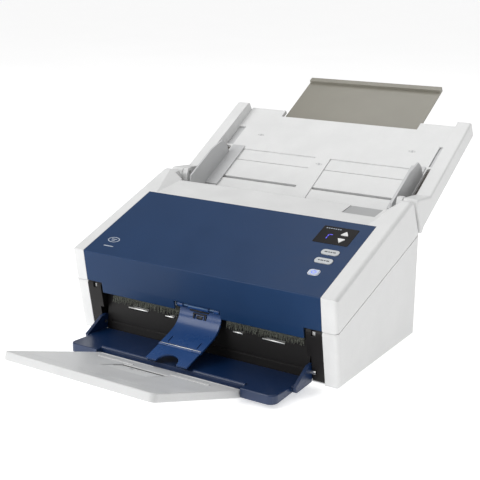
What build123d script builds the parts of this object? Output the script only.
"""Sheet-fed document scanner with folding trays.

Millimetres, +Z up, front towards -Y. The origin is on the table, midway across the
machine and midway between the tips of the two opened trays. Most heights and depths are
given in the scanner's side view, as (back, up): back from the front parting edge, up
from the table.
"""
import math
import os

from build123d import *

os.makedirs("parts", exist_ok=True)

# Casing
FRONT = -110.3          # y of the front parting edge
HALF_WIDTH = 158.0      # half of the casing's width
FOOT_HEIGHT = 6.0
BODY_DEPTH = 185.5
WALL = 3.0
SEAM_FRONT = 63.2       # height of the parting line at the front
SEAM_BACK = 119.0       # and at the back
SEAM_GAP = 0.4
NOSE = (-5.0, 98.2)     # front top edge of the upper unit
TOP_ANGLE = 19.9        # slope of the control surface, degrees
COVER_END = 111.0       # where the coloured cover ends
COVER_HALF = 141.8      # half of the coloured cover's width
COVER_THICK = 2.6
SHELF_ANGLE = 7.8       # slope of the white strip behind the cover
SHELF_END = 157.0
SHELF_HALF = 132.0

# Paper path
PATH_START = (6.0, 52.0)
PATH_ANGLE = 21.2
PATH_HALF_GAP = 1.2
GUIDE_HALF = 123.0

# Hinges, as (back, up)
COVER_HINGE = (6.0, 58.0)
FLAP_HINGE = COVER_HINGE        # the flap stays put when the cover opens about the same axis
FLAP_TIP_HINGE = (-27.6, 25.3)
TRAY_HINGE = (8.0, 18.0)
EXTENSION_HINGE = (-50.0, 5.6)
INPUT_HINGE = (180.0, 152.0)
PIN_CLEARANCE = 0.05

# Input tray
INPUT_ANGLE = 30.0
INPUT_ORIGIN = (262.0, 169.5)
INPUT_PLATE = 4.5
ARM_INNER = 141.5

# Output tray extension
EXTENSION_ANGLE = 19.1
EXTENSION_HALF = 85.0
EXTENSION_LENGTH = 139.5
EXTENSION_DEEP = 8.0

# Gears
MODULE = 1.0
PRESSURE_ANGLE = 20.0
BACKLASH = 0.24
GEAR_X = (-134.0, -128.0)


def tan(angle):
    return math.tan(math.radians(angle))


def sin(angle):
    return math.sin(math.radians(angle))


def cos(angle):
    return math.cos(math.radians(angle))


def side(x=0.0, centre=(0.0, 0.0)):
    """Plane of the side view at one x: local x runs back, local y runs up."""
    return Plane(origin=(x, FRONT + centre[0], centre[1]), x_dir=(0, 1, 0), z_dir=(1, 0, 0))


def slope_plane(point, angle, height=0.0):
    """Plane that rises backwards at an angle: local x across, local y up the slope."""
    back, up = point
    origin = (0, FRONT + back - height * sin(angle), up + height * cos(angle))
    return Plane(origin=origin, x_dir=(1, 0, 0), z_dir=(0, -sin(angle), cos(angle)))


def along(point, angle, distance, height=0.0):
    """Side-view point that lies a distance up a slope and a height above it."""
    back, up = point
    return (
        back + distance * cos(angle) - height * sin(angle),
        up + distance * sin(angle) + height * cos(angle),
    )


def seam(back):
    """Height of the parting line."""
    return SEAM_FRONT + (SEAM_BACK - SEAM_FRONT) * back / BODY_DEPTH


def path(back):
    """Height of the paper path."""
    return PATH_START[1] + (back - PATH_START[0]) * tan(PATH_ANGLE)


def path_point(back, height=0.0):
    """Side-view point at a height above the paper path, square to it."""
    return along((back, path(back)), PATH_ANGLE, 0, height)


def block(x, back, up, mode=Mode.ADD):
    """Box between two limits on each axis."""
    middle = (sum(x) / 2, FRONT + sum(back) / 2, sum(up) / 2)
    with Locations(middle):
        Box(x[1] - x[0], back[1] - back[0], up[1] - up[0], mode=mode)


def prism(points, x, mode=Mode.ADD, rounding=0.0):
    """Side-view outline drawn out across the machine."""
    with BuildSketch(side(x[0])) as outline:
        with BuildLine():
            Polyline(*points, close=True)
        make_face()
        if rounding:
            fillet(outline.vertices(), rounding)
    extrude(outline.sketch, amount=x[1] - x[0], mode=mode)


def rod(centre, radius, x, mode=Mode.ADD):
    """Cylinder across the machine, centred on a side-view point."""
    with BuildSketch(side(x[0])) as outline:
        with Locations(centre):
            Circle(radius)
    extrude(outline.sketch, amount=x[1] - x[0], mode=mode)


def slab(plane, x, y, depth, mode=Mode.ADD, rounding=0.0):
    """Plate on a plane, between limits on its local axes, of a given depth below it."""
    with BuildSketch(plane) as outline:
        with Locations(((x[0] + x[1]) / 2, (y[0] + y[1]) / 2)):
            Rectangle(x[1] - x[0], y[1] - y[0])
        if rounding:
            fillet(outline.vertices(), rounding)
    extrude(outline.sketch, amount=-depth, mode=mode)


def both_sides(x):
    """The same stretch of x on the right and on the left."""
    return (x, (-x[1], -x[0]))


def save(part, label):
    """Name a finished sub-part and write it."""
    part.part.label = label
    export_step(part.part, f"parts/{label}.step")


def gear_outline(plane, teeth, phase, bore):
    """Spur gear face whose first tooth points at the phase angle."""
    pitch = MODULE * teeth / 2
    root = pitch - 1.25 * MODULE
    tip = pitch + 0.9 * MODULE
    half = 90 / teeth - math.degrees(BACKLASH / 2 / pitch)
    spread = math.degrees(tan(PRESSURE_ANGLE) * MODULE / pitch)
    with BuildSketch(plane) as face:
        with BuildLine():
            points = []
            for tooth in range(teeth):
                middle = phase + 360 * tooth / teeth
                for radius, offset in (
                    (root, -half - spread),
                    (pitch, -half),
                    (tip, -half + 0.95 * spread),
                    (tip, half - 0.95 * spread),
                    (pitch, half),
                    (root, half + spread),
                ):
                    angle = middle + offset
                    points.append((radius * cos(angle), radius * sin(angle)))
            Polyline(*points, close=True)
        make_face()
        Circle(bore, mode=Mode.SUBTRACT)
    return face.sketch


def gear(centre, teeth, phase, x, bore):
    """Add a spur gear that turns about an axis across the machine."""
    extrude(gear_outline(side(x[0], centre), teeth, phase, bore), amount=x[1] - x[0])


def mesh_phase(phase, teeth, mate_teeth, direction):
    """Phase of a gear that meshes with another one lying in a given direction from it."""
    return direction + 180 + 180 / mate_teeth - (phase - direction) * teeth / mate_teeth


def heading(start, end):
    """Direction from one side-view point to another, degrees."""
    return math.degrees(math.atan2(end[1] - start[1], end[0] - start[0]))


# ---------------------------------------------------------------- roller layout

PICK_RADIUS, TRANSPORT_RADIUS, EXIT_RADIUS = 12.0, 9.0, 8.0
SEPARATION_RADIUS, IDLER_RADIUS, EXIT_IDLER_RADIUS = 10.0, 7.0, 6.0
NIP = 0.15              # half of the gap between facing rollers
SHAFT = 3.0
IDLER_SHAFT = 2.5
PICK_BACK, TRANSPORT_BACK, EXIT_BACK = 138.0, 105.0, 38.0
PICK = path_point(PICK_BACK, -PICK_RADIUS - NIP)
TRANSPORT = path_point(TRANSPORT_BACK, -TRANSPORT_RADIUS - NIP)
EXIT = path_point(EXIT_BACK, -EXIT_RADIUS - NIP)
SEPARATION = path_point(PICK_BACK, SEPARATION_RADIUS + NIP)
IDLER = path_point(TRANSPORT_BACK, IDLER_RADIUS + NIP)
EXIT_IDLER = path_point(EXIT_BACK, EXIT_IDLER_RADIUS + NIP)
WIDE_TYRES = ((-92, -68), (-46, -24), (24, 46), (68, 92))
PICK_TYRES = ((-34, -10), (10, 34))

GEAR_TEETH, MIDDLE_TEETH, PINION_TEETH = 24, 26, 12
PINION_REACH = MODULE * (GEAR_TEETH + PINION_TEETH) / 2
MIDDLE_REACH = MODULE * (GEAR_TEETH + MIDDLE_TEETH) / 2
DRIVE_SPAN = math.dist(PICK, TRANSPORT)
DRIVE_HEADING = heading(TRANSPORT, PICK)
MIDDLE_TURN = math.degrees(math.acos(DRIVE_SPAN / 2 / MIDDLE_REACH))
MIDDLE = along(TRANSPORT, DRIVE_HEADING - MIDDLE_TURN, MIDDLE_REACH)
MOTOR_HEADING = -100.0
MOTOR = along(TRANSPORT, MOTOR_HEADING, PINION_REACH)

TRANSPORT_PHASE = 0.0
MIDDLE_PHASE = mesh_phase(TRANSPORT_PHASE, GEAR_TEETH, MIDDLE_TEETH, heading(TRANSPORT, MIDDLE))
PICK_PHASE = mesh_phase(MIDDLE_PHASE, MIDDLE_TEETH, GEAR_TEETH, heading(MIDDLE, PICK))
MOTOR_PHASE = mesh_phase(TRANSPORT_PHASE, GEAR_TEETH, PINION_TEETH, heading(TRANSPORT, MOTOR))

# ---------------------------------------------------------------- lower casing

SCREW_PLACES = [(x, back) for x in (-146, 146) for back in (30, 158)]
FOOT_PLACES = [(x, back) for x in (-128, 128) for back in (38, 150)]
BACK_TOP = seam(BODY_DEPTH)
SWING_RELIEF = [(-1, 56.8), (0.2, 61.2), (0.7, 62.2), (1.5, 63.3), (1.5, 66), (-1, 66)]    # for the opening upper unit

base_outline = [
    (10, FOOT_HEIGHT),
    (0, seam(0) - SEAM_GAP),
    (BODY_DEPTH, BACK_TOP - SEAM_GAP),
    (BODY_DEPTH, FOOT_HEIGHT),
]

with BuildPart() as base_shell:
    prism(base_outline, (-HALF_WIDTH, HALF_WIDTH))
    outer = base_shell.edges().filter_by(lambda e: abs(abs(e.center().X) - HALF_WIDTH) < 0.1)
    fillet(outer.sort_by(Axis.Z)[:-2], 4.5)
    inside = [(13.4, 0), (3.6, 70), (BODY_DEPTH - WALL, 130), (BODY_DEPTH - WALL, 0)]
    prism(inside, (-HALF_WIDTH + WALL, HALF_WIDTH - WALL), Mode.SUBTRACT)
    block((-COVER_HALF, COVER_HALF), (-10, 20), (0, 80), Mode.SUBTRACT)
    prism(SWING_RELIEF, (-HALF_WIDTH, HALF_WIDTH), Mode.SUBTRACT)
    block((-140, 140), (BODY_DEPTH - 5, BODY_DEPTH + 5), (115.5, 130), Mode.SUBTRACT)
    for x, back in SCREW_PLACES:
        with BuildSketch(Plane.XY.offset(FOOT_HEIGHT + 2.6)) as boss:
            with Locations((x, FRONT + back)):
                Circle(4.2)
        extrude(boss.sketch, amount=26)
        block(sorted((x, math.copysign(HALF_WIDTH - 1, x))), (back - 1, back + 1), (9, 30))
        with BuildSketch(Plane.XY.offset(FOOT_HEIGHT)) as hole:
            with Locations((x, FRONT + back)):
                Circle(1.25)
        extrude(hole.sketch, amount=20, mode=Mode.SUBTRACT)
    for slot in range(12):
        x = -60 + 9 * slot
        block((x, x + 3), (BODY_DEPTH - 6, BODY_DEPTH + 3), (62, 96), Mode.SUBTRACT)
    block((-104, -88), (BODY_DEPTH - 6, BODY_DEPTH + 3), (22, 36), Mode.SUBTRACT)
    block((-72, -58), (BODY_DEPTH - 6, BODY_DEPTH + 3), (22, 34), Mode.SUBTRACT)
save(base_shell, "base_shell")

with BuildPart() as bottom_cover:
    slab(
        Plane.XY.offset(FOOT_HEIGHT + 2.5),
        (-HALF_WIDTH + WALL + 0.2, HALF_WIDTH - WALL - 0.2),
        (FRONT + 13.6, FRONT + BODY_DEPTH - WALL - 0.2),
        2.5,
        rounding=2,
    )
    for x, back in SCREW_PLACES:
        with BuildSketch(Plane.XY.offset(FOOT_HEIGHT)) as hole:
            with Locations((x, FRONT + back)):
                Circle(1.6)
        extrude(hole.sketch, amount=3, mode=Mode.SUBTRACT)
    for slot in range(9):
        back = 62 + 8 * slot
        block((-40, 40), (back, back + 2.5), (5, 9), Mode.SUBTRACT)
save(bottom_cover, "bottom_cover")

with BuildPart() as rubber_feet:
    for x, back in FOOT_PLACES:
        with BuildSketch(Plane.XY) as disc:
            with Locations((x, FRONT + back)):
                Circle(9)
        extrude(disc.sketch, amount=FOOT_HEIGHT)
    fillet(rubber_feet.edges().group_by(Axis.Z)[0], 1)
save(rubber_feet, "rubber_feet")

with BuildPart() as housing_screws:
    for x, back in SCREW_PLACES:
        for radius, bottom, height in ((3.0, FOOT_HEIGHT - 1.8, 1.8), (1.25, FOOT_HEIGHT, 16)):
            with BuildSketch(Plane.XY.offset(bottom)) as shank:
                with Locations((x, FRONT + back)):
                    Circle(radius)
            extrude(shank.sketch, amount=height)
        block((x - 2, x + 2), (back - 0.4, back + 0.4), (0, FOOT_HEIGHT - 1.2), Mode.SUBTRACT)
save(housing_screws, "housing_screws")

# Front bay: two pillars, the paper wall between them and its slots
PILLAR = (124.2, 141.4)
WALL_FOOT = (10.0, 8.8)
WALL_TOP = (13.7, 46.4)
BAR_HEIGHT = 38.0
BAY_SLOTS = ((36, 48), (70, 96))

with BuildPart() as output_bay:
    for x in both_sides(PILLAR):
        top = [(back, seam(back) - SEAM_GAP) for back in (1.7, 24)]
        prism([(9.9, 8.8), (0.9, 57.5), (0.6, 60.5), *top, (24, 8.8)], x)
    wall = [WALL_FOOT, WALL_TOP, (16.4, 46.4), (16.4, 8.8)]
    prism(wall, (-PILLAR[0], PILLAR[0]))
    for x in both_sides((124.0, 128.6)):
        block(x, (-5, 17.5), (0, 35), Mode.SUBTRACT)
    groove = [(9, 17.5), (9, 20.5), (12.2, 20.5), (11.9, 17.5)]
    prism(groove, (-118, 118), Mode.SUBTRACT)
    for slot in BAY_SLOTS:
        for x in both_sides(slot):
            block(x, (9, 17), (BAR_HEIGHT - 2, BAR_HEIGHT + 2), Mode.SUBTRACT)
    for x in both_sides((122.0, 134.0)):
        rod(TRAY_HINGE, 2 + PIN_CLEARANCE, x, Mode.SUBTRACT)
    for x in both_sides((126.0, 141.4)):
        rod(COVER_HINGE, 1.4, x, Mode.SUBTRACT)
    for x in both_sides((129.6, 134.4)):
        rod(COVER_HINGE, 3.2, x, Mode.SUBTRACT)
        block(x, (-2, COVER_HINGE[0] + 3.2), (COVER_HINGE[1] - 1.2, 72), Mode.SUBTRACT)
        block(x, (COVER_HINGE[0], 14), (COVER_HINGE[1] - 0.6, 72), Mode.SUBTRACT)
save(output_bay, "output_bay")

with BuildPart() as cover_pins:
    for x in both_sides((126.0, 140.0)):
        rod(COVER_HINGE, 1.4, x)
save(cover_pins, "cover_pins")

with BuildPart() as discharge_bar:
    block((-110, 110), (17.2, 18.4), (BAR_HEIGHT - 5, BAR_HEIGHT + 5))
    for x in both_sides((104, 110)):
        block(x, (16.4, 17.2), (BAR_HEIGHT - 5, BAR_HEIGHT + 5))
save(discharge_bar, "discharge_bar")

with BuildPart() as exit_brush:
    for x in both_sides((30.0, 116.0)):
        prism([(13.9, 46.4), (13.0, 51.2), (14.4, 51.2), (15.9, 46.4)], x)
save(exit_brush, "exit_brush")

# Inside frame: two steel plates that carry the shafts and the middle gear's stud
STUD = 2.0
PLATE_INNER = 124.6
SHAFT_CENTRES = (PICK, TRANSPORT, EXIT)
with BuildPart() as side_plates:
    for x in both_sides((PLATE_INNER, PLATE_INNER + 2)):
        plate = [(26, 8.5), (26, 66), (168, 109), (168, 8.5)]
        prism(plate, x)
        block(x, (60, 92), (26, 52), Mode.SUBTRACT)
        for centre in SHAFT_CENTRES:
            rod(centre, 5, x, Mode.SUBTRACT)
        foot = (x[0] - 10, x[0]) if x[0] > 0 else (x[1], x[1] + 10)
        block(foot, (60, 140), (8.5, 10.5))
    rod(MOTOR, 8, (-127, -124), Mode.SUBTRACT)
    rod(MIDDLE, STUD, (GEAR_X[0] - 1, -PLATE_INNER))
    rod(MIDDLE, STUD + 1.4, (GEAR_X[0] - 2, GEAR_X[0] - 0.3))
save(side_plates, "side_plates")

with BuildPart() as shaft_bushings:
    for x in both_sides((124.0, 127.2)):
        for centre in SHAFT_CENTRES:
            rod(centre, 5, x)
            rod(centre, SHAFT + PIN_CLEARANCE, x, Mode.SUBTRACT)
save(shaft_bushings, "shaft_bushings")

# Lower paper guide, with windows for the tyres and the scan glass
SCAN_BACK = 74.0
MODULE_HALF = 112.0
scan_plane = slope_plane((SCAN_BACK, path(SCAN_BACK)), PATH_ANGLE)

with BuildPart() as lower_guide:
    low, high = path_point(19, -PATH_HALF_GAP), path_point(170, -PATH_HALF_GAP)
    lip = (183.0, 120.4)
    floor = [low, high, lip, (184.2, 118.4), path_point(171, -4.2), path_point(19, -3.6)]
    prism(floor, (-GUIDE_HALF, GUIDE_HALF))
    for rib in range(11):
        x = -110 + 22 * rib
        rib_side = [path_point(20, -3.4), path_point(52, -3.4), path_point(52, -4.9), path_point(20, -4.9)]
        prism(rib_side, (x - 0.6, x + 0.6))
    for x in both_sides((122, PLATE_INNER)):
        tab = [path_point(back, height) for back, height in ((60, -1.2), (90, -1.2), (90, -3.6), (60, -3.6))]
        prism(tab, x)
    for centre, radius, tyres in (
        (PICK, PICK_RADIUS, PICK_TYRES),
        (TRANSPORT, TRANSPORT_RADIUS, WIDE_TYRES),
        (EXIT, EXIT_RADIUS, WIDE_TYRES),
    ):
        for x in tyres:
            rod(centre, radius + 1, (x[0] - 1, x[1] + 1), Mode.SUBTRACT)
    slab(scan_plane, (-MODULE_HALF - 0.2, MODULE_HALF + 0.2), (-11.2, 11.2), 8, Mode.SUBTRACT)
save(lower_guide, "lower_guide")


def scan_module(sign):
    """Contact image sensor housing below (-1) or above (+1) the paper path."""
    heights = (2.0, 15.0) if sign > 0 else (-15.0, -2.0)
    base = slope_plane((SCAN_BACK, path(SCAN_BACK)), PATH_ANGLE, heights[1])
    slab(base, (-MODULE_HALF, MODULE_HALF), (-11, 11), heights[1] - heights[0])
    mouth = (2.0, 6.0) if sign > 0 else (-6.0, -2.0)
    opening = slope_plane((SCAN_BACK, path(SCAN_BACK)), PATH_ANGLE, mouth[1])
    slab(opening, (-MODULE_HALF + 3, MODULE_HALF - 3), (-5, 5), 4.0, Mode.SUBTRACT)


def scan_glass(sign):
    """Glass strip over the sensor's mouth."""
    top = 2.0 if sign > 0 else -1.2
    face = slope_plane((SCAN_BACK, path(SCAN_BACK)), PATH_ANGLE, top)
    slab(face, (-MODULE_HALF + 1, MODULE_HALF - 1), (-10, 10), 0.8)


with BuildPart() as lower_scan_module:
    scan_module(-1)
save(lower_scan_module, "lower_scan_module")

with BuildPart() as lower_scan_glass:
    scan_glass(-1)
save(lower_scan_glass, "lower_scan_glass")

# Drive: motor, gear train and belt on the left side
MOTOR_SHAFT = 1.5
with BuildPart() as drive_motor:
    rod(MOTOR, 13, (-PLATE_INNER, -98))
    fillet(drive_motor.edges().filter_by(GeomType.CIRCLE).sort_by(Axis.X)[-1], 2)
    rod(MOTOR, 6, (-98.5, -96))
    rod(MOTOR, 7.8, (-PLATE_INNER - 1.6, -PLATE_INNER))
    rod(MOTOR, MOTOR_SHAFT + PIN_CLEARANCE, (-128, -110), Mode.SUBTRACT)
save(drive_motor, "drive_motor")

with BuildPart() as motor_pinion:
    gear(MOTOR, PINION_TEETH, MOTOR_PHASE, GEAR_X, MOTOR_SHAFT)
    rod(MOTOR, MOTOR_SHAFT, (-135, -111))
save(motor_pinion, "motor_pinion")

with BuildPart() as middle_gear:
    gear(MIDDLE, MIDDLE_TEETH, MIDDLE_PHASE, GEAR_X, STUD + PIN_CLEARANCE)
save(middle_gear, "middle_gear")


def driven_shaft(centre, hub, tyres, left_end, pulley):
    """Shaft with a moulded hub under each tyre and perhaps a belt pulley at its end."""
    rod(centre, SHAFT, (left_end, 130))
    for x in tyres:
        rod(centre, hub, x)
    if pulley:
        rod(centre, PULLEY_RADIUS, BELT_X)


def tyre_set(centre, hub, radius, tyres):
    """Rubber tyres around the hubs."""
    for x in tyres:
        rod(centre, radius, x)
        rod(centre, hub, x, Mode.SUBTRACT)


BELT_X = (-141.0, -136.0)
PULLEY_RADIUS = 7.0
for name, centre, radius, tyres, left_end, pulley in (
    ("pick", PICK, PICK_RADIUS, PICK_TYRES, -135, False),
    ("transport", TRANSPORT, TRANSPORT_RADIUS, WIDE_TYRES, -142, False),
    ("exit", EXIT, EXIT_RADIUS, WIDE_TYRES, -142, True),
):
    with BuildPart() as shaft:
        driven_shaft(centre, radius - 3, tyres, left_end, pulley)
    save(shaft, f"{name}_shaft")
    with BuildPart() as tyre:
        tyre_set(centre, radius - 3, radius, tyres)
        rims = tyre.edges().filter_by(GeomType.CIRCLE)
        fillet(rims.filter_by(lambda edge: edge.radius > radius - 1), 0.6)
    save(tyre, f"{name}_tyres")

with BuildPart() as pick_gear:
    gear(PICK, GEAR_TEETH, PICK_PHASE, GEAR_X, SHAFT)
save(pick_gear, "pick_gear")

with BuildPart() as transport_gear:
    gear(TRANSPORT, GEAR_TEETH, TRANSPORT_PHASE, GEAR_X, SHAFT)
    rod(TRANSPORT, PULLEY_RADIUS, (BELT_X[0], GEAR_X[0]))
    rod(TRANSPORT, SHAFT, BELT_X, Mode.SUBTRACT)
    rod(TRANSPORT, SHAFT, (BELT_X[1], GEAR_X[0]), Mode.SUBTRACT)
save(transport_gear, "transport_gear")

with BuildPart() as drive_belt:
    for radius, mode in ((PULLEY_RADIUS + 1.5, Mode.ADD), (PULLEY_RADIUS + 0.3, Mode.SUBTRACT)):
        with BuildSketch(side(BELT_X[0] + 0.5)) as loop:
            with Locations(TRANSPORT, EXIT):
                Circle(radius)
            middle = along(EXIT, heading(EXIT, TRANSPORT), math.dist(EXIT, TRANSPORT) / 2)
            with Locations(middle):
                Rectangle(math.dist(EXIT, TRANSPORT), 2 * radius, rotation=heading(EXIT, TRANSPORT))
        extrude(loop.sketch, amount=4, mode=mode)
save(drive_belt, "drive_belt")

# Electronics and sockets
with BuildPart() as main_board:
    block((-96, 84), (60, 150), (13.0, 14.6))
    for x in (-90, 78):
        for back in (66, 144):
            block((x - 2.5, x + 2.5), (back - 2.5, back + 2.5), (8.5, 13.0))
    for x, back, size, height in ((-40, 100, 22, 2.2), (5, 95, 14, 1.6), (38, 120, 12, 1.6), (60, 84, 9, 6)):
        block((x, x + size), (back, back + size), (14.6, 14.6 + height))
save(main_board, "main_board")

with BuildPart() as power_inlet:
    block((-103.7, -88.3), (BODY_DEPTH - 14, BODY_DEPTH - 0.4), (22.3, 35.7))
    with BuildSketch(Plane.XZ.offset(-FRONT - BODY_DEPTH)) as barrel:
        with Locations((-96, 29)):
            Circle(4.6)
            Circle(1.3, mode=Mode.SUBTRACT)
    extrude(barrel.sketch, amount=11, mode=Mode.SUBTRACT)
save(power_inlet, "power_inlet")

with BuildPart() as usb_socket:
    block((-71.7, -58.3), (BODY_DEPTH - 16, BODY_DEPTH - 0.4), (22.3, 33.7))
    block((-69.6, -60.4), (BODY_DEPTH - 10, BODY_DEPTH + 1), (23.6, 32.4), Mode.SUBTRACT)
    block((-67.5, -62.5), (BODY_DEPTH - 10.5, BODY_DEPTH - 2), (26.6, 29.4))
save(usb_socket, "usb_socket")

# Brackets that carry the input tray
BRACKET = (134.0, 140.6)
with BuildPart() as tray_brackets:
    for x in both_sides(BRACKET):
        post = [(173, 90), (174.2, 151), (176.5, 157), (183.5, 157), (185.2, 152), (182.4, 119), (182.4, 90)]
        prism(post, x)
        rod(INPUT_HINGE, 2 + PIN_CLEARANCE, x, Mode.SUBTRACT)
save(tray_brackets, "tray_brackets")

# ---------------------------------------------------------------- upper unit

BACK_CORNER = (166.0, NOSE[1] + (166.0 - NOSE[0]) * tan(TOP_ANGLE))
SHELF_START = (COVER_END, NOSE[1] + (COVER_END - NOSE[0]) * tan(TOP_ANGLE))


def under_top(back, depth):
    """Height of the control surface's line, lowered square to itself."""
    return NOSE[1] + (back - NOSE[0]) * tan(TOP_ANGLE) - depth / cos(TOP_ANGLE)


def behind_face(up, depth):
    """How far back the front face lies at a height, moved in by a depth."""
    return NOSE[0] * (up - SEAM_FRONT) / (NOSE[1] - SEAM_FRONT) + depth * 1.01


def front_corner(depth):
    """Where the front face and the control surface meet, both moved in by a depth."""
    lean = NOSE[0] / (NOSE[1] - SEAM_FRONT)
    rise = tan(TOP_ANGLE)
    level = NOSE[1] + (1.01 * depth - lean * SEAM_FRONT - NOSE[0]) * rise - depth / cos(TOP_ANGLE)
    up = level / (1 - lean * rise)
    return (behind_face(up, depth), up)


upper_outline = [
    (0, seam(0) + SEAM_GAP),
    NOSE,
    BACK_CORNER,
    (BODY_DEPTH, BACK_TOP + SEAM_GAP),
]
SKIN = 2.4
PANEL_X = (84.0, 134.0)
PANEL_SLOPE = (26.0, 116.0)
LATCH_X = (91.0, 128.6)
LATCH_SLOPE = (24.0, 45.6)
shelf_plane = slope_plane(SHELF_START, SHELF_ANGLE)
latch_axis = along(SHELF_START, SHELF_ANGLE, LATCH_SLOPE[0] + 1.4, -1.6)

with BuildPart() as upper_frame:
    prism(upper_outline, (-HALF_WIDTH, HALF_WIDTH))
    back_edge = upper_frame.edges().filter_by(Axis.X).sort_by(Axis.Z)[-1]
    fillet(back_edge, 10)
    rim = upper_frame.edges().filter_by(lambda e: abs(abs(e.center().X) - HALF_WIDTH) < 0.1)
    seam_height = seam(BODY_DEPTH / 2) + SEAM_GAP
    fillet(rim.filter_by(lambda e: abs(e.center().Z - seam_height) > 1), 4.5)
    seat_depth = COVER_THICK + 0.1
    seat = [
        (behind_face(50, seat_depth), 50),
        front_corner(seat_depth),
        (COVER_END + 0.1, under_top(COVER_END + 0.1, seat_depth)),
        (COVER_END + 0.1, 190),
        (-20, 190),
        (-20, 50),
    ]
    prism(seat, (-COVER_HALF, COVER_HALF), Mode.SUBTRACT)
    with BuildSketch(slope_plane(SHELF_START, SHELF_ANGLE + 90, 0)) as step:
        with BuildLine():
            flare = SHELF_HALF + 29
            Polyline((-SHELF_HALF, 0), (SHELF_HALF, 0), (flare, 20), (-flare, 20), close=True)
        make_face()
    extrude(step.sketch, amount=-90, mode=Mode.SUBTRACT)
    deep = seat_depth + SKIN
    roof = [
        (behind_face(40, deep), 40),
        front_corner(deep),
        (COVER_END - 4, under_top(COVER_END - 4, deep)),
        along(SHELF_START, SHELF_ANGLE, 3, -WALL),
        along(SHELF_START, SHELF_ANGLE, SHELF_END - COVER_END - 4, -WALL),
        (146, 126),
        (146, 40),
    ]
    prism(roof, (-HALF_WIDTH + WALL, HALF_WIDTH - WALL), Mode.SUBTRACT)
    throat = [(SHELF_END, 190), (SHELF_END, 146.4), (149, 126), (143, 126), (143, 40), (220, 40), (220, 190)]
    prism(throat, (-SHELF_HALF, SHELF_HALF), Mode.SUBTRACT)
    block((-COVER_HALF, COVER_HALF), (161, 220), (40, 190), Mode.SUBTRACT)
    rear_hollow = [(150, 100), (150, 150), (163, 155), (168, 148), (180, 122), (180, 100)]
    for x in both_sides((COVER_HALF + 2.6, HALF_WIDTH - WALL)):
        prism(rear_hollow, x, Mode.SUBTRACT)
    slab(slope_plane(NOSE, TOP_ANGLE), PANEL_X, PANEL_SLOPE, 9, Mode.SUBTRACT)
    slab(shelf_plane, LATCH_X, (LATCH_SLOPE[0] - 1, 60), 3.6, Mode.SUBTRACT)
    rod(latch_axis, 1 + PIN_CLEARANCE, (LATCH_X[0] - 2.5, LATCH_X[1] + 2.5), Mode.SUBTRACT)
    for x in both_sides((130.0, 134.0)):
        ear = [(3.8, 58.6), (2.8, 62.6), (1.8, 66), (4.6, 78), (12, 82), (12, 68), (8.3, 58.6)]
        prism(ear, x)
        rod(COVER_HINGE, 2.4, x)
        rod(COVER_HINGE, 1.4 + PIN_CLEARANCE, x, Mode.SUBTRACT)
    for x in both_sides((28.2, 31.6)):
        ear = [(4.4, 58), (4.0, 76), (12, 80), (12, 66), (9.2, 58)]
        prism(ear, x)
        rod(FLAP_HINGE, 3.0, x)
        rod(FLAP_HINGE, 1.5 + PIN_CLEARANCE, x, Mode.SUBTRACT)
save(upper_frame, "upper_frame")

# Coloured cover: sloping control surface, front face and lip over the paper exit
LIP_HALF = 122.0
LIP_BOTTOM = (2.0, 52.5)
DISPLAY = ((90.0, 129.2), (82.0, 112.0))
ARROW_X = 117.9
ARROW_HALF = 4.4        # half width at the base
ARROW_BASE = 2.9        # from its centre back to the base
ARROW_TIP = 4.2         # and on to the tip
ARROWS = {"up_button": (101.8, 1), "down_button": (90.2, -1)}
BUTTON_GAP = 0.25
PILL_BUTTONS = {
    "send_button": ((117.6, 68.5), (19.0, 8.4), 3.5),
    "function_button": ((117.6, 54.0), (19.0, 8.4), 3.5),
    "power_button": ((117.1, 34.4), (10.2, 7.8), 2.2),
}


def span(limits, margin):
    """The same limits with a margin added at both ends."""
    return (limits[0] - margin, limits[1] + margin)


def button_limits(centre, size, margin=0.0):
    """Limits across and up the slope of a button, with a margin all round."""
    return [span((middle - width / 2, middle + width / 2), margin) for middle, width in zip(centre, size)]


def arrow_outline(y, point, margin=0.0):
    """Triangle that points up or down the slope, with a margin all round."""
    half = ARROW_HALF + 1.6 * margin
    base = y - (ARROW_BASE + margin) * point
    tip = y + (ARROW_TIP + 2.2 * margin) * point
    return [(ARROW_X - half, base), (ARROW_X + half, base), (ARROW_X, tip)]


with BuildPart() as blue_cover:
    skin = [
        (behind_face(64, 0), 64),
        NOSE,
        (COVER_END, under_top(COVER_END, 0)),
        (COVER_END, under_top(COVER_END, COVER_THICK)),
        front_corner(COVER_THICK),
        (behind_face(64, COVER_THICK), 64),
    ]
    prism(skin, (-COVER_HALF + 0.2, COVER_HALF - 0.2))
    lip = [
        (behind_face(64, 0), 64),
        (0, SEAM_FRONT),
        LIP_BOTTOM,
        (LIP_BOTTOM[0] + 1.9, LIP_BOTTOM[1] + 0.3),
        (1.9, SEAM_FRONT),
        (behind_face(64, 1.9), 64),
    ]
    prism(lip, (-LIP_HALF, LIP_HALF))
    nose_edge = blue_cover.edges().filter_by(Axis.X).sort_by(Axis.Y)[0]
    fillet(nose_edge, 1.2)
    block((-28, 28), (-2, 8), (50, 61.8), Mode.SUBTRACT)
    for x in both_sides((129.6, 134.4)):
        block(x, (0.8, 4), (62, 70), Mode.SUBTRACT)
    top = slope_plane(NOSE, TOP_ANGLE)
    slab(top, DISPLAY[0], DISPLAY[1], 1.3, Mode.SUBTRACT, rounding=1.5)
    slab(top, span(DISPLAY[0], -3), span(DISPLAY[1], -3), 5, Mode.SUBTRACT)
    for centre, size, rounding in PILL_BUTTONS.values():
        x, y = button_limits(centre, size, BUTTON_GAP)
        slab(top, x, y, 5, Mode.SUBTRACT, rounding)
save(blue_cover, "blue_cover")

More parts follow.
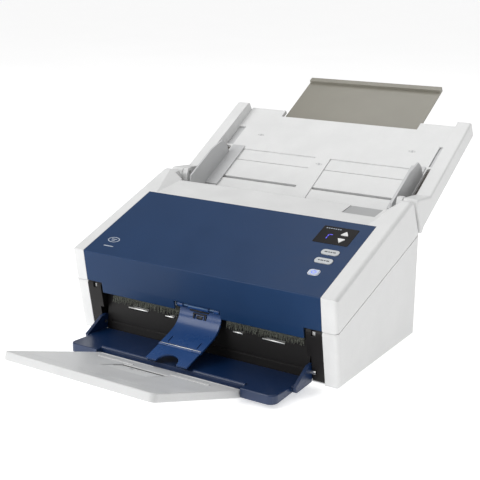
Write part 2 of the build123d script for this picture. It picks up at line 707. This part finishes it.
with BuildPart() as display_window:
    face = slope_plane(NOSE, TOP_ANGLE, 0.15)
    slab(face, span(DISPLAY[0], -0.1), span(DISPLAY[1], -0.1), 1.4, rounding=1.4)
    for y, point in ARROWS.values():
        with BuildSketch(face) as hole:
            with BuildLine():
                Polyline(*arrow_outline(y, point, BUTTON_GAP), close=True)
            make_face()
        extrude(hole.sketch, amount=-3, mode=Mode.SUBTRACT)
save(display_window, "display_window")

with BuildPart() as panel_board:
    board = slope_plane(NOSE, TOP_ANGLE, -7.2)
    slab(board, (80, 138), (24, 120), 1.6)
    posts = slope_plane(NOSE, TOP_ANGLE, -5.11)
    for x in (81.8, 136.2):
        for y in (26, 118):
            slab(posts, (x - 1.5, x + 1.5), (y - 1.5, y + 1.5), 2.09)
    switch = slope_plane(NOSE, TOP_ANGLE, -6.2)
    for x, y in [(ARROW_X, y) for y, point in ARROWS.values()] + [row[0] for row in PILL_BUTTONS.values()]:
        slab(switch, (x - 3, x + 3), (y - 3, y + 3), 1.0)
    slab(slope_plane(NOSE, TOP_ANGLE, -2.4), (94.6, 110), (87, 107), 4.8)
save(panel_board, "panel_board")


def button_stem(x, y):
    """Stem that reaches down to the switch."""
    slab(slope_plane(NOSE, TOP_ANGLE, -3.6), (x - 1.5, x + 1.5), (y - 1.5, y + 1.5), 1.8)


for name, (centre, size, rounding) in PILL_BUTTONS.items():
    with BuildPart() as button:
        slab(slope_plane(NOSE, TOP_ANGLE, 0.7), *button_limits(centre, size), 3.5, rounding=rounding)
        fillet(button.edges().group_by(Axis.Z)[-1], 0.3)
        slab(slope_plane(NOSE, TOP_ANGLE, -2.8), *button_limits(centre, size, 1), 0.8)
        button_stem(*centre)
    save(button, name)

for name, (y, point) in ARROWS.items():
    with BuildPart() as button:
        with BuildSketch(slope_plane(NOSE, TOP_ANGLE, 0.7)) as arrow:
            with BuildLine():
                Polyline(*arrow_outline(y, point), close=True)
            make_face()
            fillet(arrow.vertices(), 0.6)
        extrude(arrow.sketch, amount=-3.5)
        reach = sorted((y - 3.4 * point, y + 4.5 * point))
        slab(slope_plane(NOSE, TOP_ANGLE, -2.8), (ARROW_X - 4.9, ARROW_X + 4.9), reach, 0.8)
        button_stem(ARROW_X, y)
    save(button, name)

# Cover release at the back of the shelf
with BuildPart() as cover_release:
    lever = slope_plane(SHELF_START, SHELF_ANGLE, -0.5)
    slab(lever, (LATCH_X[0] + 0.5, LATCH_X[1] - 0.5), LATCH_SLOPE, 2.2)
    rod(latch_axis, 1, (LATCH_X[0] - 2, LATCH_X[1] + 2))
    slab(lever, (104, 112), (28, 30), 9)
save(cover_release, "cover_release")

# Inner guide of the upper unit, with the ribs that carry its rollers
RIB_X = (119.4, GUIDE_HALF)
AXLE_END = 121.5
RIB_DEPTH = 10.5        # below the control surface, under the panel board
with BuildPart() as upper_guide:
    low, high = path_point(13, 2.2), path_point(137, PATH_HALF_GAP)
    plate = [low, high, (148, 124), (145.6, 124.6), path_point(134, 3.8), path_point(13, 4.4)]
    prism(plate, (-GUIDE_HALF, GUIDE_HALF))
    for x in both_sides(RIB_X):
        rib = [
            path_point(16, 3),
            path_point(136, 3),
            (145.8, 124.4),
            (145.8, 140.6),
            (114, 135.8),
            (113, under_top(110, RIB_DEPTH)),
            (20, under_top(20, RIB_DEPTH)),
            (16, 74),
        ]
        prism(rib, x)
        block(x, (48, 94), (94, 108), Mode.SUBTRACT)
    for centre, radius, tyres in (
        (SEPARATION, SEPARATION_RADIUS, PICK_TYRES),
        (IDLER, IDLER_RADIUS, WIDE_TYRES),
        (EXIT_IDLER, EXIT_IDLER_RADIUS, WIDE_TYRES),
    ):
        rod(centre, IDLER_SHAFT + PIN_CLEARANCE, (-AXLE_END - 0.1, AXLE_END + 0.1), Mode.SUBTRACT)
        rod(centre, IDLER_SHAFT + 0.8, (-RIB_X[0], RIB_X[0]), Mode.SUBTRACT)
        for x in tyres:
            rod(centre, radius + 1, span(x, 1), Mode.SUBTRACT)
    scan_well = slope_plane((SCAN_BACK, path(SCAN_BACK)), PATH_ANGLE, 9)
    slab(scan_well, span((-MODULE_HALF, MODULE_HALF), 0.2), (-11.2, 11.2), 9, Mode.SUBTRACT)
save(upper_guide, "upper_guide")

with BuildPart() as upper_scan_module:
    scan_module(1)
save(upper_scan_module, "upper_scan_module")

with BuildPart() as upper_scan_glass:
    scan_glass(1)
save(upper_scan_glass, "upper_scan_glass")

for name, centre, radius, tyres in (
    ("separation_roller", SEPARATION, SEPARATION_RADIUS, PICK_TYRES),
    ("transport_idler", IDLER, IDLER_RADIUS, WIDE_TYRES),
    ("exit_idler", EXIT_IDLER, EXIT_IDLER_RADIUS, WIDE_TYRES),
):
    with BuildPart() as roller:
        rod(centre, IDLER_SHAFT, (-AXLE_END, AXLE_END))
        for x in tyres:
            rod(centre, radius, x)
        rims = roller.edges().filter_by(GeomType.CIRCLE)
        fillet(rims.filter_by(lambda edge: edge.radius > radius - 1), 0.6)
    save(roller, name)

# ---------------------------------------------------------------- paper guide flap

FLAP_HALF = 25.2
FLAP_TIP = (-51.3, 18.0)
TIP_ANGLE = heading(FLAP_TIP, FLAP_TIP_HINGE)
TIP_PIN = 0.8

with BuildPart() as flap_pin:
    rod(FLAP_HINGE, 1.5, (-31.5, 31.5))
save(flap_pin, "flap_pin")

with BuildPart() as guide_flap:
    with BuildSketch(side(-FLAP_HALF)) as curve:
        with BuildLine():
            Spline((7.4, 56.2), (6.0, 46.0), (0.3, 38.4), (-13.0, 31.4), (-26.4, 26.6))
            Line((-26.4, 26.6), (-26.8, 24.4))
            Spline((-26.8, 24.4), (-12.4, 29.5), (1.8, 36.9), (7.9, 45.5), (9.2, 57.4))
            Line((9.2, 57.4), (7.4, 56.2))
        make_face()
    extrude(curve.sketch, amount=2 * FLAP_HALF)
    rod(FLAP_HINGE, 3.1, (-FLAP_HALF, FLAP_HALF))
    rod(FLAP_TIP_HINGE, 1.7, (-FLAP_HALF, FLAP_HALF))
    rod(FLAP_HINGE, 1.5 + PIN_CLEARANCE, (-FLAP_HALF, FLAP_HALF), Mode.SUBTRACT)
    block((-15.6, 15.6), (-30, -25.2), (20, 30), Mode.SUBTRACT)
    rod(FLAP_TIP_HINGE, 2.1, (-15.6, 15.6), Mode.SUBTRACT)
    rod(FLAP_TIP_HINGE, TIP_PIN + PIN_CLEARANCE, (-FLAP_HALF + 0.8, FLAP_HALF - 0.8), Mode.SUBTRACT)
    for x in both_sides((17.0, 18.2)):
        block(x, (-24, -15), (20, 36), Mode.SUBTRACT)
    for x in both_sides((12.5, 19.0)):
        block(x, (2, 12), (56.2, 62), Mode.SUBTRACT)
    for x, up in (((-6, 6), (49.4, 50.4)), ((-6, -5), (45, 50)), ((5, 6), (45, 50))):
        block(x, (2, 12), up, Mode.SUBTRACT)
save(guide_flap, "guide_flap")

with BuildPart() as flap_tip:
    length = math.dist(FLAP_TIP_HINGE, FLAP_TIP)
    face = slope_plane(FLAP_TIP_HINGE, TIP_ANGLE, 0.9)
    slab(face, (-24.6, 24.6), (-length, -2.4), 1.7, rounding=0.8)
    slab(face, (-15.2, 15.2), (-4, 0), 1.7)
    rod(FLAP_TIP_HINGE, 1.6, (-15.2, 15.2))
    rod(FLAP_TIP_HINGE, TIP_PIN, (-FLAP_HALF + 1, FLAP_HALF - 1))
    with BuildSketch(face) as bite:
        with Locations((0, -length)):
            Ellipse(12.4, 12.5)
    extrude(bite.sketch, amount=-4, mode=Mode.SUBTRACT)
save(flap_tip, "flap_tip")

# ---------------------------------------------------------------- output tray

TRAY_HALF = 122.6
TRAY_FRONT = -53.0
EAR = (124.4, 127.9)
EXTENSION_PIN = 1.25


def rising_forward(point, angle, height=0.0):
    """Plane that rises towards the front: local y runs up it."""
    back, up = point
    origin = (0, FRONT + back + height * sin(angle), up + height * cos(angle))
    return Plane(origin=origin, x_dir=(-1, 0, 0), z_dir=(0, sin(angle), cos(angle)))


with BuildPart() as output_tray:
    prism([(9.2, 10), (TRAY_FRONT, 13.7), (TRAY_FRONT, 4.3), (0, 6.4), (9.2, 7.2)], (-TRAY_HALF, TRAY_HALF))
    corners = output_tray.edges().filter_by(Axis.Z).group_by(Axis.Y)[0]
    fillet(corners, 8)
    hollow = [(-2, 0), (-2, 7.9), (TRAY_FRONT + 2.4, 10.9), (TRAY_FRONT + 2.4, 0)]
    prism(hollow, (-TRAY_HALF + 2.4, -EXTENSION_HALF - 8), Mode.SUBTRACT)
    prism(hollow, (EXTENSION_HALF + 8, TRAY_HALF - 2.4), Mode.SUBTRACT)
    middle = [(-2, 0), (-2, 7.9), (-42.6, 10.4), (-42.6, 0)]
    prism(middle, span((-EXTENSION_HALF, EXTENSION_HALF), 6), Mode.SUBTRACT)
    block((-EXTENSION_HALF - 1.2, EXTENSION_HALF + 1.2), (-60, -45.2), (0, 20), Mode.SUBTRACT)
    for x in both_sides((27, 86)):
        rod((-43.2, 12.6), 2.2, x)
    top_edges = output_tray.edges().group_by(Axis.Y)[0].group_by(Axis.Z)[-1]
    fillet(top_edges, 1.2)
    for x in both_sides((121.5, EAR[1])):
        prism([(-20, 11.9), (9.2, 10), (9.2, 7.2), (-20, 6.2)], x)
    for x in both_sides(EAR):
        prism([(-22, 12.2), (-4, 22), (3, 26.0), (9.2, 18), (9.2, 7.2), (-20, 6.2)], x)
        rod(TRAY_HINGE, 8.2, x)
        rod(TRAY_HINGE, 2, x, Mode.SUBTRACT)
    for x in both_sides((EXTENSION_HALF + 1, EXTENSION_HALF + 8)):
        rod(EXTENSION_HINGE, EXTENSION_PIN + PIN_CLEARANCE, x, Mode.SUBTRACT)
save(output_tray, "output_tray")

with BuildPart() as tray_pins:
    for x in both_sides((124.6, 133.0)):
        rod(TRAY_HINGE, 2, x)
save(tray_pins, "tray_pins")

EXTENSION_EDGE = (-48.0, 9.7)
STOP_HALF = 25.5
STOP_SPAN = (38.0, 72.0)
STOP_AXIS = 70.0


def extension_plane(height=0.0):
    return rising_forward(EXTENSION_EDGE, EXTENSION_ANGLE, height)


def on_extension(distance, height):
    """Side-view point at a distance along the extension and a height above its top."""
    back = EXTENSION_EDGE[0] - distance * cos(EXTENSION_ANGLE) + height * sin(EXTENSION_ANGLE)
    up = EXTENSION_EDGE[1] + distance * sin(EXTENSION_ANGLE) + height * cos(EXTENSION_ANGLE)
    return (back, up)


with BuildPart() as output_extension:
    reach = EXTENSION_LENGTH
    slab(extension_plane(), (-EXTENSION_HALF, EXTENSION_HALF), (0.3, reach), EXTENSION_DEEP)
    uprights = output_extension.edges().filter_by(lambda e: abs(e.length - EXTENSION_DEEP) < 0.01)
    fillet(uprights.group_by(Axis.Y)[0], 6)
    fillet(output_extension.faces().sort_by(Axis.Z)[-1].edges(), 1)
    inner_half = EXTENSION_HALF - 2.4
    slab(extension_plane(-2.4), (-inner_half, inner_half), (2.7, reach - 2.4), 9, Mode.SUBTRACT, rounding=3)
    slab(extension_plane(-1), (-STOP_HALF - 2, STOP_HALF + 2), span(STOP_SPAN, 2), 4.2)
    slab(extension_plane(), (-STOP_HALF, STOP_HALF), STOP_SPAN, 3.4, Mode.SUBTRACT)
    for x in both_sides((STOP_HALF - 2, STOP_HALF)):
        slab(extension_plane(), x, (STOP_SPAN[0] + 2.8, STOP_SPAN[0] + 18), 9, Mode.SUBTRACT)
    for gap in ((0.0, 1.6), (2.8, 4.4)):
        limits = [STOP_SPAN[0] + edge for edge in gap]
        slab(extension_plane(), (-STOP_HALF, STOP_HALF), limits, 9, Mode.SUBTRACT)
    rod(on_extension(STOP_AXIS, -1.3), 0.9, (-STOP_HALF - 1.6, STOP_HALF + 1.6), Mode.SUBTRACT)
    for x in both_sides((22, 66)):
        slab(extension_plane(1.1), x, (26, 28), 1.6)
    slab(extension_plane(), (-EXTENSION_HALF, EXTENSION_HALF), (118.6, 119.4), 0.6, Mode.SUBTRACT)
    for x in both_sides((78, EXTENSION_HALF)):
        rod(EXTENSION_HINGE, 2.9, x)
    for x in both_sides((80, EXTENSION_HALF + 7.5)):
        rod(EXTENSION_HINGE, EXTENSION_PIN, x)
save(output_extension, "output_extension")

with BuildPart() as paper_stop:
    slab(extension_plane(-0.3), (-STOP_HALF + 0.4, STOP_HALF - 0.4), (STOP_SPAN[0] + 5, STOP_AXIS - 0.2), 2.0)
    for x in both_sides((STOP_HALF - 2, STOP_HALF)):
        slab(extension_plane(), x, (STOP_SPAN[0], STOP_SPAN[0] + 18), 9, Mode.SUBTRACT)
    rod(on_extension(STOP_AXIS, -1.3), 1.0, (-STOP_HALF + 0.4, STOP_HALF - 0.4))
    rod(on_extension(STOP_AXIS, -1.3), 0.85, (-STOP_HALF - 1.4, STOP_HALF + 1.4))
    slab(extension_plane(), (-9, 9), (STOP_SPAN[0] + 7.4, STOP_SPAN[0] + 13), 9, Mode.SUBTRACT, rounding=1.5)
save(paper_stop, "paper_stop")

# ---------------------------------------------------------------- input tray

PLATE_SPAN = (-90.0, 83.5)
NOTCH_HALF = 92.0
NOTCH_START = 71.0
POST_SLOT = -50.5
GUIDE_X = 127.6
GUIDE_TRAVEL = 60.0
RACK_TEETH = 16


def input_plane(height=0.0):
    return slope_plane(INPUT_ORIGIN, INPUT_ANGLE, height)


def on_input(distance, height):
    """Side-view point at a distance up the input tray and a height above its plate."""
    return along(INPUT_ORIGIN, INPUT_ANGLE, distance, height)


with BuildPart() as input_tray:
    slab(input_plane(), (-ARM_INNER, ARM_INNER), PLATE_SPAN, INPUT_PLATE)
    for x in both_sides((ARM_INNER, HALF_WIDTH)):
        arm = [
            (174.8, 157.2),
            on_input(-52, 12),
            on_input(79.5, 12),
            on_input(79.5, -8),
            on_input(-80, -8),
            (190.4, 112.2),
            (184.8, 131),
            (175.2, 149),
        ]
        prism(arm, x, rounding=3.5)
    rims = input_tray.edges().filter_by(lambda e: abs(abs(e.center().X) - HALF_WIDTH) < 0.1)
    fillet(rims, 2.4)
    slab(input_plane(), (-NOTCH_HALF, NOTCH_HALF), (NOTCH_START, 90), 9, Mode.SUBTRACT, rounding=1)
    slab(input_plane(), (-NOTCH_HALF, NOTCH_HALF), (80, 90), 9, Mode.SUBTRACT)
    for x in both_sides((10.0, 111.5)):
        slab(input_plane(), x, (-100, 2), 1.2, Mode.SUBTRACT)
        slab(input_plane(), x, (-18.0, -16.8), 2.4, Mode.SUBTRACT)
    for x in both_sides((10.0, 126.0)):
        slab(input_plane(), x, (POST_SLOT - 1.8, POST_SLOT + 1.8), 9, Mode.SUBTRACT, rounding=0.8)
    for x in both_sides((130.6, 141.0)):
        slab(input_plane(), x, (-86, 5), 3.0, Mode.SUBTRACT, rounding=3)
        slab(input_plane(), x, (8, 44), 3.6, Mode.SUBTRACT, rounding=1)
    for x in both_sides((134.0, 151.0)):
        rod(INPUT_HINGE, 2, x, Mode.SUBTRACT)
save(input_tray, "input_tray")

with BuildPart() as input_tray_pins:
    for x in both_sides((134.2, 151.0)):
        rod(INPUT_HINGE, 2, x)
save(input_tray_pins, "input_tray_pins")

with BuildPart() as tray_back_cover:
    slab(input_plane(-INPUT_PLATE), (-140.6, 140.6), (-82, 70.8), 6, rounding=2)
    slab(input_plane(-INPUT_PLATE), (-138.6, 138.6), (-80, 68.8), 4, Mode.SUBTRACT, rounding=1)
    slab(input_plane(-INPUT_PLATE), (-92.5, 92.5), (60, 80), 4, Mode.SUBTRACT)
    for x in both_sides((91.4, 93.4)):
        slab(input_plane(-INPUT_PLATE), x, (-28, 68.8), 4)
    with BuildSketch(input_plane(-8.6)) as stud:
        with Locations((0, POST_SLOT)):
            Circle(2)
    extrude(stud.sketch, amount=3.9)
save(tray_back_cover, "tray_back_cover")

with BuildPart() as guide_pinion:
    pinion_plane = slope_plane(on_input(POST_SLOT, 0), INPUT_ANGLE, -7.2)
    extrude(gear_outline(pinion_plane, RACK_TEETH, 90, 2 + PIN_CLEARANCE), amount=2.4)
save(guide_pinion, "guide_pinion")


def side_guide(sign):
    """Paper guide with its post and rack: +1 stands on the right, -1 on the left."""

    def stretch(start, end):
        return (start, end) if sign > 0 else (-end, -start)

    slab(input_plane(1.2), stretch(111.0, GUIDE_X + 1), (-68, 6), 1.0, rounding=0.8)
    fence = [
        on_input(-92, 0.2),
        on_input(-92, 19),
        on_input(-86, 27),
        on_input(-36, 27),
        on_input(-11, 21.5),
        on_input(-7, 12),
        on_input(-7, 0.2),
    ]
    prism(fence, stretch(GUIDE_X, GUIDE_X + 2.2))
    slab(input_plane(0.4), stretch(116, 119), (POST_SLOT - 1.3, POST_SLOT + 1.3), 7.6)
    rack_side = -sign
    pitch_line = POST_SLOT + rack_side * MODULE * RACK_TEETH / 2
    back_line = pitch_line + rack_side * 6
    root_line = pitch_line + rack_side * 1.25
    link = sorted((POST_SLOT - rack_side * 1.3, back_line))
    slab(input_plane(-4.8), stretch(114, 122), link, 2.4)
    slab(input_plane(-4.8), stretch(-10, 122), sorted((root_line, back_line)), 2.4)
    half = math.pi * MODULE / 4 - BACKLASH / 2
    flank = tan(PRESSURE_ANGLE)
    with BuildSketch(input_plane(-7.2)) as teeth:
        for tooth in range(-2, 21):
            middle = sign * (tooth + 0.5) * math.pi * MODULE
            outline = [
                (middle - half - 1.35 * flank, root_line + 0.1 * rack_side),
                (middle - half + 0.9 * flank, pitch_line - 0.9 * rack_side),
                (middle + half - 0.9 * flank, pitch_line - 0.9 * rack_side),
                (middle + half + 1.35 * flank, root_line + 0.1 * rack_side),
            ]
            with BuildLine():
                Polyline(*outline, close=True)
            make_face()
    extrude(teeth.sketch, amount=2.4)


for name, sign in (("guide_right", 1), ("guide_left", -1)):
    with BuildPart() as guide:
        side_guide(sign)
    save(guide, name)

with BuildPart() as tray_extension:
    slab(input_plane(-4.8), (-91, 91), (50, 158.5), 2.2, rounding=2)
    slab(input_plane(-1.4), (-91, 91), (151, 158.5), 5.6, rounding=1)
save(tray_extension, "tray_extension")
